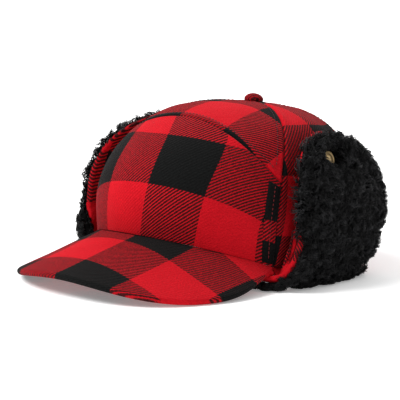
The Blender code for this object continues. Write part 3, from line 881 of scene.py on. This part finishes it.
def curls(name, roots, normals, material, seed, tall=1.0, length=0.0088, thick=0.00046, steps=6):
    """Curly locks of pile, each a tapered three-sided tube that winds as it rises. The locks of a tuft lean
    together and meet at their tips, and tall scales each lock's length."""
    rng = np.random.default_rng(seed)
    count = len(roots)
    tall = np.broadcast_to(tall, count)
    owner = tufts(roots, TUFT_SEED)
    helper = np.where(np.abs(normals[:, 2:]) < 0.8, np.array((0, 0, 1.0)), np.array((1.0, 0, 0)))
    first = unit(np.cross(normals, helper))
    second = np.cross(normals, first)
    turned = rng.uniform(0, 2 * math.pi, count)
    lean = first * np.cos(turned)[:, None] + second * np.sin(turned)[:, None]
    grown = tall * length * rng.uniform(0.75, 1.1, count)
    tip = roots + (normals * 0.62 + lean * 0.62) * grown[:, None]
    lean = unit(lean[owner] + 0.35 * rng.normal(size=(count, 3)))
    lean = unit(lean - normals * (lean * normals).sum(1, keepdims=True))
    side = np.cross(normals, lean)
    tall = grown[owner] * rng.uniform(0.75, 1.05, count)
    own = roots + (normals * 0.60 + lean * 0.62) * tall[:, None]
    gather = (tip[owner] - own) * rng.uniform(0.25, 0.8, count)[:, None]
    wind = rng.uniform(0.0004, 0.0012, count)
    turns = rng.uniform(0.7, 1.5, count) * rng.choice((-1, 1), count)
    phase = rng.uniform(0, 2 * math.pi, count)
    path = []
    for k in range(steps + 1):
        share = k / steps
        turn = phase + turns * 2 * math.pi * share
        bow = wind * min(1, 2.2 * share)
        drift = lean * (tall * 0.62 * share * share)[:, None]
        rise = normals * (tall * (0.9 * share - 0.30 * share * share))[:, None]
        swirl = first * (bow * (np.cos(turn) - np.cos(phase)))[:, None]
        swirl = swirl + side * (bow * (np.sin(turn) - np.sin(phase)))[:, None]
        path.append(roots + drift + rise + swirl + gather * share**1.6)
    path = np.stack(path)
    path[..., 2] = np.maximum(path[..., 2], FLOOR_CLEARANCE + thick)
    ahead = unit(np.gradient(path, axis=0))
    rings = []
    for k in range(steps + 1):
        radius = thick * (1.0 - 0.72 * (k / steps) ** 1.5)
        across = unit(np.cross(ahead[k], normals + 0.3 * lean))
        upright = np.cross(ahead[k], across)
        for j in range(3):
            angle = 2 * math.pi * j / 3
            rings.append(path[k] + (across * math.cos(angle) + upright * math.sin(angle)) * radius)
    points = np.stack(rings, 1).reshape(-1, 3)
    per = (steps + 1) * 3
    pattern = []
    for k in range(steps):
        for j in range(3):
            pattern.append((k * 3 + j, k * 3 + (j + 1) % 3, k * 3 + 3 + (j + 1) % 3, k * 3 + 3 + j))
    start = np.arange(count)[:, None] * per
    quads = (np.array(pattern)[None] + start[..., None]).reshape(-1, 4)
    ends = np.concatenate((np.array([(2, 1, 0)]) + start, np.array([range(per - 3, per)]) + start))
    loops = np.concatenate((quads.ravel(), ends.ravel()))
    sizes = np.concatenate((np.full(len(quads), 4), np.full(len(ends), 3)))
    mesh = bpy.data.meshes.new(name)
    mesh.vertices.add(len(points))
    mesh.vertices.foreach_set("co", points.astype(np.float32).ravel())
    mesh.loops.add(len(loops))
    mesh.loops.foreach_set("vertex_index", loops.astype(np.int32))
    mesh.polygons.add(len(sizes))
    starts = np.concatenate(((0,), np.cumsum(sizes)[:-1]))
    mesh.polygons.foreach_set("loop_start", starts.astype(np.int32))
    mesh.update(calc_edges=True)
    mesh.validate()
    mesh.shade_smooth()
    mesh.materials.append(material)
    return link(name, mesh)


def scatter(thing, count, seed, keep):
    """Roots and normals spread evenly over a mesh, where keep says so for (points, normals)."""
    rng = np.random.default_rng(seed)
    mesh = thing.data
    mesh.calc_loop_triangles()
    corners = np.empty(len(mesh.loop_triangles) * 3, np.int32)
    mesh.loop_triangles.foreach_get("vertices", corners)
    co = np.empty(len(mesh.vertices) * 3, np.float64)
    mesh.vertices.foreach_get("co", co)
    normal = np.empty(len(mesh.vertices) * 3, np.float64)
    mesh.vertex_normals.foreach_get("vector", normal)
    co, normal, corners = co.reshape(-1, 3), normal.reshape(-1, 3), corners.reshape(-1, 3)
    a, b, c = (co[corners[:, k]] for k in range(3))
    area = np.linalg.norm(np.cross(b - a, c - a), axis=1)
    wanted = keep(co[corners].mean(1), unit(normal[corners].mean(1)))
    area = area * wanted
    pick = rng.choice(len(area), count, p=area / area.sum())
    r, s = rng.random(count), rng.random(count)
    flip = r + s > 1
    r, s = np.where(flip, 1 - r, r), np.where(flip, 1 - s, s)
    weights = np.stack((1 - r - s, r, s), 1)[..., None]
    roots = (co[corners[pick]] * weights).sum(1)
    normals = unit((normal[corners[pick]] * weights).sum(1))
    return roots, normals


def snap_line(sign):
    """The snap's axis in the cap's frame, and where it meets the flap's wool side."""
    rise = math.radians(25)
    axis = np.array((sign * math.cos(rise), 0, math.sin(rise)))
    seat = crown(np.array(sign * math.radians(85.3)), np.array(0.412))
    near, far = 0.0, 0.02
    for _ in range(40):
        middle = (near + far) / 2
        point = seat + axis * middle
        if abs(point[0]) < flap_face_x(point[1], point[2]):
            near = middle
        else:
            far = middle
    return axis, seat + axis * near


def vertices_of(thing):
    """An object's vertices as an array of points."""
    points = np.empty(len(thing.data.vertices) * 3)
    thing.data.vertices.foreach_get("co", points)
    return points.reshape(-1, 3)


def swell(thing, pressure=3.5, voxel=0.0045, most=0.0013):
    """Lets a pad fill out as stuffed cloth does: an even copy is blown up a little by a cloth simulation,
    and the pad takes the copy's movement, held to most."""
    copy = thing.copy()
    copy.data = thing.data.copy()
    bpy.context.scene.collection.objects.link(copy)
    remesh = copy.modifiers.new("voxels", "REMESH")
    remesh.mode = "VOXEL"
    remesh.voxel_size = voxel
    with bpy.context.temp_override(object=copy, active_object=copy, selected_objects=[copy]):
        bpy.ops.object.modifier_apply(modifier=remesh.name)
    before = vertices_of(copy)
    cloth = copy.modifiers.new("cloth", "CLOTH")
    cloth.settings.quality = 5
    cloth.settings.mass = 0.1
    cloth.settings.use_pressure = True
    cloth.settings.uniform_pressure_force = pressure
    cloth.settings.effector_weights.gravity = 0
    scene = bpy.context.scene
    for step in range(1, 21):
        scene.frame_set(step)
    move = vertices_of(copy.evaluated_get(bpy.context.evaluated_depsgraph_get())) - before
    scene.frame_set(1)
    bpy.data.objects.remove(copy)
    move *= np.minimum(1, most / np.maximum(np.linalg.norm(move, axis=1, keepdims=True), 1e-9))
    tree = tree_of(before)
    points = vertices_of(thing)
    for k, point in enumerate(points):
        near = tree.find_n(point, 8)
        pull = np.array([1 / (distance + 0.001) for _, _, distance in near])
        points[k] = point + (move[[index for _, index, _ in near]] * pull[:, None]).sum(0) / pull.sum()
    move_to(thing, points)


def move_to(thing, points):
    thing.data.vertices.foreach_set("co", points.ravel())
    thing.data.update()


class Well:
    """The hollow that thumbs press into the pile round a snap, longer towards the front of the hat."""

    def __init__(self, sign):
        axis, foot = snap_line(sign)
        turn = np.array(CAP.to_3x3())
        self.axis = turn @ axis
        self.foot = np.array(CAP @ Vector(foot))
        front = turn @ np.array((0, -1.0, 0))
        self.front = unit(front - self.axis * (front @ self.axis))
        self.beside = np.cross(self.axis, self.front)

    def distance(self, points):
        away = points - self.foot
        ahead = away @ self.front
        ahead = np.where(ahead > 0, ahead / WELL_STRETCH, ahead)
        return np.hypot(ahead, away @ self.beside)

    def sink(self, points):
        height = (points - self.foot) @ self.axis
        deep = np.maximum(height - WELL_FLOOR, 0) * np.exp(-((self.distance(points) / WELL_RADIUS) ** 4))
        return points - self.axis * deep[:, None]


def make_fleece(side, sign):
    """The fleece pad with its pile of curls, hollowed round the snap."""
    depth = FLAP_SHELL + FLAP_FLEECE - PILE_SINK
    section = [(inset, depth) for inset in np.linspace(0.062, 0.009, 30)]
    thick = depth - 0.0040
    for bend in np.linspace(0.08, math.pi / 2, 10):
        section.append((0.0072 * (1 - math.sin(bend)) + PILE_INSET, 0.0040 + thick * math.cos(bend) ** 0.8))
    section += [(PILE_INSET + 0.0020, 0.0034), (PILE_INSET + 0.0050, 0.0032)]
    outer = flap_grid(section, sign)
    uneven = 0.0007 * ripple(outer, 0.022, 71 + sign) + 0.0004 * ripple(outer, 0.009, 72 + sign)
    outer[..., 0] += sign * uneven * (np.array([inset for inset, _ in section]) > PILE_INSET + 0.0021)
    inner = flap_grid([(max(inset, PILE_INSET + 0.0020), 0.0026) for inset, _ in section], sign)
    for grid in (outer, inner):
        corner = np.array(FLAP_OUTLINE[0])
        near = np.exp(-(((grid[..., 1:] - corner) / CORNER_TRIM_REACH) ** 2).sum(-1))
        grid[..., 1] += CORNER_TRIM[sign] * near - FRONT_COVER[sign] * front_share(grid, sign)
    uv = outer[..., 1:]
    pad = sheet_mesh(f"{side}_fleece_ground", to_world(outer), to_world(inner), uv, FLEECE, ring=True)
    swell(pad)
    well = Well(sign)
    points = off_wool(well.sink(vertices_of(pad)), sign)
    points[:, 2] = np.maximum(points[:, 2], FLOOR_CLEARANCE)
    move_to(pad, points)
    settle(pad, f"{side}_flap", "fleece", f"{side}_flap_fleece")

    inward = np.array(CAP.to_3x3() @ Vector((-sign, 0, 0)))

    def outside(points, normals):
        high = from_wool(points, sign)[1] > PILE_LOW
        return high & (normals @ inward < INWARD_PILE[sign]) & (well.distance(points) > WELL_CLEAR)

    for shade, material in enumerate(CURLS):
        roots, normals = scatter(pad, FLAP_LOCKS, 81 + sign * 5 + shade, outside)
        tall = np.clip((well.distance(roots) - WELL_CLEAR) / 0.011 + 0.38, 0.38, 1.0)
        pile = curls(f"{side}_fleece_pile_{shade}", roots, normals, material, 91 + sign * 3 + shade, tall)
        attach(pile, f"{side}_flap")


def from_wool(points, sign):
    """The points in the cap's own frame, and how far out each lies from the flap's wool face."""
    local = placed(points, CAP.inverted())
    face = flap_face_x(local[:, 1], local[:, 2]) + flare(sign, local[:, 1], local[:, 2])
    return local, sign * local[:, 0] - face


def off_wool(points, sign):
    """Holds the pad's points off the flap's wool face, so that none comes through it."""
    local, gap = from_wool(points, sign)
    local[:, 0] += sign * np.maximum(WOOL_GAP - gap, 0)
    return to_world(local)


def flap_foot(y):
    """The lowest height of the flap's outline at a place along it."""
    outline = outline_curve(400)
    low = outline[outline[:, 1] < 0.030]
    order = np.argsort(low[:, 0])
    return np.interp(y, low[order, 0], low[order, 1])


def make_fold(side, sign):
    """The wool and the fleece that run from the crown's rim round the fold into the flap."""
    angles = sign * np.radians(np.linspace(*FOLD_ANGLES, 66))
    rim = crown(angles, np.zeros_like(angles))
    y = rim[:, 1]
    edge = np.abs(rim[:, 0])
    face = flap_face_x(y, np.zeros_like(y))
    foot = flap_foot(y)
    foot = np.where(y > 0, np.minimum(foot, FOLD_FOOT_TOP), foot)
    rise = np.clip((y.max() - y) / FOLD_TAPER, 0.15, 1)

    def strip(name, section, thick, material, slot, nodes=(), keep=slice(None)):
        """section gives (x, z) at each y kept; thick grows it on the side away from the crown's inside."""
        along = y[keep]
        stations = [np.column_stack(station)[keep] for station in section]
        fine = np.linspace(0, len(stations) - 1, FOLD_COLUMNS)
        k = np.minimum(fine.astype(int), len(stations) - 2)
        t = (fine - k)[None, :, None]
        ease = np.stack(stations, 1)
        curve = through(*(ease[:, np.clip(k + n, 0, len(stations) - 1)] for n in (-1, 0, 1, 2)), t)
        ahead = unit(np.gradient(curve, axis=1))
        out = np.stack((-ahead[..., 1], ahead[..., 0]), -1)
        out *= np.where(out[..., 1:] > 0, -1, 1)
        puff = thick * (0.35 + 0.65 * np.sin(math.pi * np.linspace(0, 1, FOLD_COLUMNS)) ** 0.5)
        grids = []
        for grow in (puff, 0 * puff):
            flat = curve + out * grow[None, :, None]
            ways = np.repeat(along[:, None], FOLD_COLUMNS, 1)
            grids.append(np.stack((sign * flat[..., 0], ways, flat[..., 1]), -1))
        grids[0] += 0.0004 * ripple(grids[0], 0.02, 101)[..., None] * np.array((0, 0, 1.0))
        arc = arc_lengths(grids[0], 1)
        uv = laid(grids[0][..., 1], -arc, FLAP_GRAIN)
        worlds = [to_world(grid) for grid in grids]
        for grid, low in zip(worlds, (0.0, thick * 0.3)):
            grid[..., 2] = np.maximum(grid[..., 2], FLOOR_CLEARANCE + low)
        made = sheet_mesh(name, *worlds, uv, material)
        if nodes:
            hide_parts(*nodes)
        return made

    def turn(made):
        """Bakes a piece's placement into its mesh."""
        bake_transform(made)

    level = 0 * y
    section = (
        (edge - 0.0030, level - 0.0004),
        (edge + 0.0005, level - 0.0022),
        ((edge + face) / 2, level - 0.0050),
        (face - 0.0004, foot + 0.0042 * rise),
        (face + 0.0006, foot + 0.0085 * rise),
    )
    wool = strip(f"{side}_fold_wool", section, 0.0016, PLAID, "wool_plaid", (f"{side}_flap_root",))
    turn(wool)
    section = (
        (edge - 0.0085, level + 0.0004),
        (edge - 0.0050, level - 0.0042),
        (edge + 0.0030, level - 0.0072),
        (face + 0.0030, foot - 0.0004),
        (face + 0.0085, foot + 0.0024),
    )
    ground = strip(f"{side}_fold_fleece", section, 0.0022, FLEECE, "fleece", (), y > FOLD_FLEECE_START)
    turn(ground)
    for shade in (0, 1):
        seed = 121 + sign + 5 * shade
        roots, normals = scatter(ground, FOLD_LOCKS, seed, lambda points, normals: normals[:, 2] < 0.1)
        pile = curls(f"{side}_fold_pile_{shade}", roots, normals, CURLS[shade], seed + 10, 0.72)
        turn(pile)


def smooth_path(points, count):
    """A smooth curve through listed points, read at even shares."""
    points = np.array(points)
    total = len(points)
    place = np.linspace(0, total - 1, count)
    k = np.minimum(place.astype(int), total - 2)
    t = (place - k)[:, None]
    return through(*(points[np.clip(k + n, 0, total - 1)] for n in (-1, 0, 1, 2)), t)


def tube(name, path, radius, material, sides=20, grain=None):
    """A closed tube along world points, with a radius at each and round ends."""
    ahead = unit(np.gradient(path, axis=0))
    across = unit(np.cross(ahead, np.array((0.3, 0.2, 1.0))))
    upright = np.cross(across, ahead)
    angle = np.arange(sides) * 2 * math.pi / sides
    rings = path[:, None] + radius[:, None, None] * (
        across[:, None] * np.cos(angle)[None, :, None] + upright[:, None] * np.sin(angle)[None, :, None])
    uv = None
    if grain is not None:
        around = np.where(angle > math.pi, 2 * math.pi - angle, angle)
        uv = np.stack((np.repeat(run_along(path)[:, None], sides, 1), radius[:, None] * around[None]), -1)
        uv = uv.reshape(-1, 2) * MILLIMETRES + np.array(grain)
    return face_out(new_mesh(name, rings.reshape(-1, 3), ring_faces(len(path), sides), material, uv))


def rounded(count, size, ends=0.25):
    """Radii that swell quickly from both ends of a tube."""
    share = np.linspace(0, 1, count)
    near = np.minimum(share, 1 - share) / ends
    return size * np.sqrt(np.clip(1 - (1 - np.clip(near, 0.02, 1)) ** 2, 0.02, 1))


def make_corner(side, sign):
    """Where the fold meets the visor: a roll of wool from the visor's corner, which on the left goes on up
    the flap's front edge and on the right stays with the crown, and a roll of fleece beside it."""
    flip = np.array((sign, 1, 1))
    reach = np.array((sign * FLARE[sign], 0, 0))

    def flared(path):
        return path * flip + reach * np.clip((path[:, 2:] + 0.004) / 0.03, 0, 1)

    edge = to_world(flared(smooth_path(CORNER_WOOL[CORNER_WOOL_FROM[sign]:], 150)))
    size = rounded(150, CORNER_WOOL_RADIUS, 0.2)
    roll = tube(f"{side}_corner_wool", edge, size, PLAID, 24, CORNER_GRAIN)
    world = to_world(flared(smooth_path(CORNER_FLEECE[sign], 50)))
    size = rounded(50, CORNER_FLEECE_RADIUS[sign], 0.3) * np.linspace(1.15, 0.6, 50)
    world[:, 2] = np.maximum(world[:, 2], size + FLOOR_CLEARANCE)
    ground = tube(f"{side}_corner_fleece", world, size, FLEECE, 18)
    roots, normals = scatter(ground, CORNER_LOCKS, 141 + sign, lambda points, normals: normals[:, 2] < 0.7)
    pile = curls(f"{side}_corner_pile", roots, normals, CURLS[1], 151 + sign, 0.5)
    for piece, slot in ((roll, "wool_plaid"), (ground, "fleece"), (pile, "fleece")):
        if piece is roll and sign < 0:
            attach(piece, "crown")
            continue
        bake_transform(piece)


def make_binding():
    """The rounded, turned edge of the rim behind the flaps."""
    angles = np.radians(np.linspace(*BINDING_ANGLES, 200))
    angles = np.where(angles > math.pi, angles - 2 * math.pi, angles)
    rows = []
    for bend in np.linspace(0, 2 * math.pi, 25)[:-1]:
        depth = 0.0021 - 0.0021 * math.cos(bend)
        drop = 0.0010 + 0.0009 * math.sin(bend) * (1 if math.sin(bend) > 0 else 0.6)
        rows.append(rim_point(angles, depth, drop))
    grid = np.stack(rows, 1)
    world = to_world(grid)
    world[..., 2] = np.maximum(world[..., 2], 0.0)
    count, sides = grid.shape[:2]
    run = arc_lengths(grid, 0)
    uv = np.stack((run * MILLIMETRES, np.linspace(0, 8, sides)[None].repeat(count, 0)), -1).reshape(-1, 2)
    faces = ring_faces(count, sides)
    binding = face_out(new_mesh("rear_binding_cloth", world.reshape(-1, 3), faces, PLAID, uv))
    settle(binding, "crown", "wool_plaid", "rear_rim_binding")


def stitches(name, line, lift, material, body, slot, pitch=0.0031, length=0.0022, radius=0.00028):
    """A row of thread stitches along a line of world points with outward directions."""
    run = run_along(line)
    starts = np.arange(pitch / 2, run[-1] - length, pitch)
    points, faces = [], []
    for start in starts:
        place = np.linspace(start, start + length, 6)
        middle = np.stack([np.interp(place, run, line[:, k]) for k in range(3)], -1)
        out = unit(np.stack([np.interp(place, run, lift[:, k]) for k in range(3)], -1))
        arch = np.sin(np.linspace(0.12, math.pi - 0.12, 6))
        ahead = unit(np.gradient(middle, axis=0))
        beside = np.cross(ahead, out)
        base = len(points)
        for k in range(6):
            thick = radius * (0.55 + 0.45 * arch[k])
            centre = middle[k] + out[k] * radius * (1.5 * arch[k] - 0.5)
            for turn in np.arange(6) * math.pi / 3:
                points.append(centre + (beside[k] * math.cos(turn) + out[k] * math.sin(turn)) * thick)
        for k in range(5):
            for j in range(6):
                a, b = base + k * 6 + j, base + k * 6 + (j + 1) % 6
                faces.append((a, b, b + 6, a + 6))
        faces += [tuple(base + j for j in range(5, -1, -1)), tuple(base + 30 + j for j in range(6))]
    row = face_out(new_mesh(name, np.array(points), faces, material))
    settle(row, body, slot)


def make_seam_tabs():
    """The short dark strips stitched over the lower ends of the front panel's side seams."""
    for side, sign in (("left", 1), ("right", -1)):
        for name, low, high, slant, ground, proud in SEAM_TABS:
            share, way = np.meshgrid(np.linspace(0, 1, 14), np.linspace(0, 1, 30), indexing="ij")
            angle = sign * np.radians(59.3 + 5.5 * share)
            climb = low + (high - low - slant * share) * way
            base, normal = crown(angle, climb), crown_normal(angle, climb)
            edge = np.minimum(np.minimum(share, 1 - share) / 0.2, 1)
            edge = edge * np.minimum(np.minimum(way, 1 - way) / 0.08, 1)
            lift = 0.0002 + 0.0007 * np.sqrt(np.clip(edge, 0, 1)) + proud
            outer, inner = to_world(base + normal * lift[..., None]), to_world(base - normal * 0.0004)
            uv = np.stack((48 + 9.5 * share, ground + arc_lengths(base, 1) * MILLIMETRES), -1)
            tab = sheet_mesh(f"{side}_{name}_seam_tab", outer, inner, uv, PLAID)
            settle(tab, "crown", "wool_plaid")


def make_stitching():
    """Topstitching beside the front panel's side seams, the arch and the rim."""
    turn = np.array(CAP.to_3x3()).T

    def along_crown(name, angle, climb, proud=0.0001, material=DARK_THREAD):
        out = crown_normal(angle, climb)
        line = to_world(crown(angle, climb) + out * proud)
        stitches(name, line, out @ turn, material, "crown", "wool_plaid")

    for side, sign in (("left", 1), ("right", -1)):
        inset = math.radians(3.0)
        climb = np.linspace(0.02, ARCH_SIDE - 0.01, 80)
        angle = np.full(80, sign * (SIDE_SEAM - inset))
        along_crown(f"{side}_front_stitching", angle, climb, 0.0010, RED_THREAD)
        climb = np.linspace(ARCH_SIDE + 0.06, 0.90, 90)
        along_crown(f"{side}_top_stitching", sign * (SIDE_SEAM - inset / np.cos(climb * 1.35)), climb)
        climb = np.linspace(0.04, 0.90, 120)
        along_crown(f"{side}_rear_stitching", sign * (BACK_SEAM + inset / np.cos(climb * 1.35)), climb)
    angle = np.linspace(-SIDE_SEAM * 0.94, SIDE_SEAM * 0.94, 200)
    along_crown("arch_stitching", angle, arch_climb(angle) + 0.022)
    angle = np.linspace(math.radians(121), math.radians(239), 200)
    angle = np.where(angle > math.pi, angle - 2 * math.pi, angle)
    along_crown("rear_rim_stitching", angle, np.full(200, 0.035))


def paint(node, material):
    """Gives a solid that stays as it is its own material."""
    for slot in frame["nodes"][node].material_slots:
        slot.material = material


def make_snap(side, sign):
    """The snap's cap, with its ring and dimple, and the plain halves under it."""
    axis, foot = snap_line(sign)
    place = CAP @ Matrix.Translation(foot) @ Vector(axis).to_track_quat("Z", "Y").to_matrix().to_4x4()
    lift = FLAP_SHELL + 0.0004
    profile = [(0.0002, 0.0), (0.0016, 0.0)] + [(radius, lift + height) for radius, height in SNAP_DOME]
    cap = lathe(f"{side}_snap_cap_brass", profile, BRASS, place)
    settle(cap, f"{side}_flap", "brass", f"{side}_snap_cap")
    for half in ("socket", "stud", "rivet"):
        paint(f"{side}_snap_{half}", BRASS)


# ---------------------------------------------------------------- stage


def make_stage():
    """A pale floor, even light all round, and two broad soft lamps."""
    world = bpy.data.worlds.new("studio")
    bpy.context.scene.world = world
    world.use_nodes = True
    background = world.node_tree.nodes["Background"]
    background.inputs["Color"].default_value = (1, 1, 1, 1)
    background.inputs["Strength"].default_value = 0.50
    bpy.ops.mesh.primitive_plane_add(size=16, location=(0, 0, -0.0002))
    floor = bpy.context.object
    floor.name = "floor"
    n = Nodes("pale_floor")
    n.set(Base_Color=(0.95, 0.95, 0.95, 1), Roughness=0.9, Emission_Color=(1, 1, 1, 1), Emission_Strength=0.2)
    floor.data.materials.append(n.material)
    for name, way, strength, spread in LAMPS:
        lamp = bpy.data.lights.new(name, "SUN")
        lamp.energy = strength
        lamp.angle = math.radians(spread)
        light = link(name, lamp)
        light.rotation_euler = Vector(way).to_track_quat("Z", "Y").to_euler()
    bpy.context.scene.view_settings.view_transform = "Standard"
    bpy.context.scene.view_settings.look = "Medium High Contrast"


def make_camera():
    """A long lens, a little above the rim, from the front and the wearer's left."""
    azimuth, elevation, roll = (math.radians(angle) for angle in (VIEW_ROUND, VIEW_UP, VIEW_ROLL))
    out = math.cos(elevation)
    back = Vector((math.sin(azimuth) * out, -math.cos(azimuth) * out, math.sin(elevation)))
    level = Vector((math.cos(azimuth), math.sin(azimuth), 0))
    upright = back.cross(level)
    right = level * math.cos(roll) + upright * math.sin(roll)
    up = upright * math.cos(roll) - level * math.sin(roll)
    rim_centre = CAP @ Vector((0, 0, 0))
    eye = rim_centre + back * VIEW_DISTANCE
    aim = rim_centre - right * VIEW_AIM_LEFT + up * VIEW_AIM_UP
    look = (eye - aim).normalized()
    side = up.cross(look).normalized()
    matrix = Matrix((side, look.cross(side), look)).transposed().to_4x4()
    matrix.translation = eye
    camera = link("camera", bpy.data.cameras.new("camera"))
    camera.data.lens = VIEW_LENS
    camera.data.sensor_width = 36.0
    camera.matrix_world = matrix
    bpy.context.scene.camera = camera


def finish_hidden_pieces():
    """Materials for the stiffeners inside the cloth and the metal behind the button."""
    paint("front_buckram", BUCKRAM)
    paint("visor_board", BOARD)
    paint("top_button_back", STEEL)


make_camera()
make_stage()
finish_hidden_pieces()
make_crown()
make_inside()
make_visor()
make_button()
make_binding()
make_seam_tabs()
make_stitching()
for side, sign in (("left", 1), ("right", -1)):
    make_shell(side, sign)
    make_fleece(side, sign)
    make_snap(side, sign)
    make_fold(side, sign)
    make_corner(side, sign)
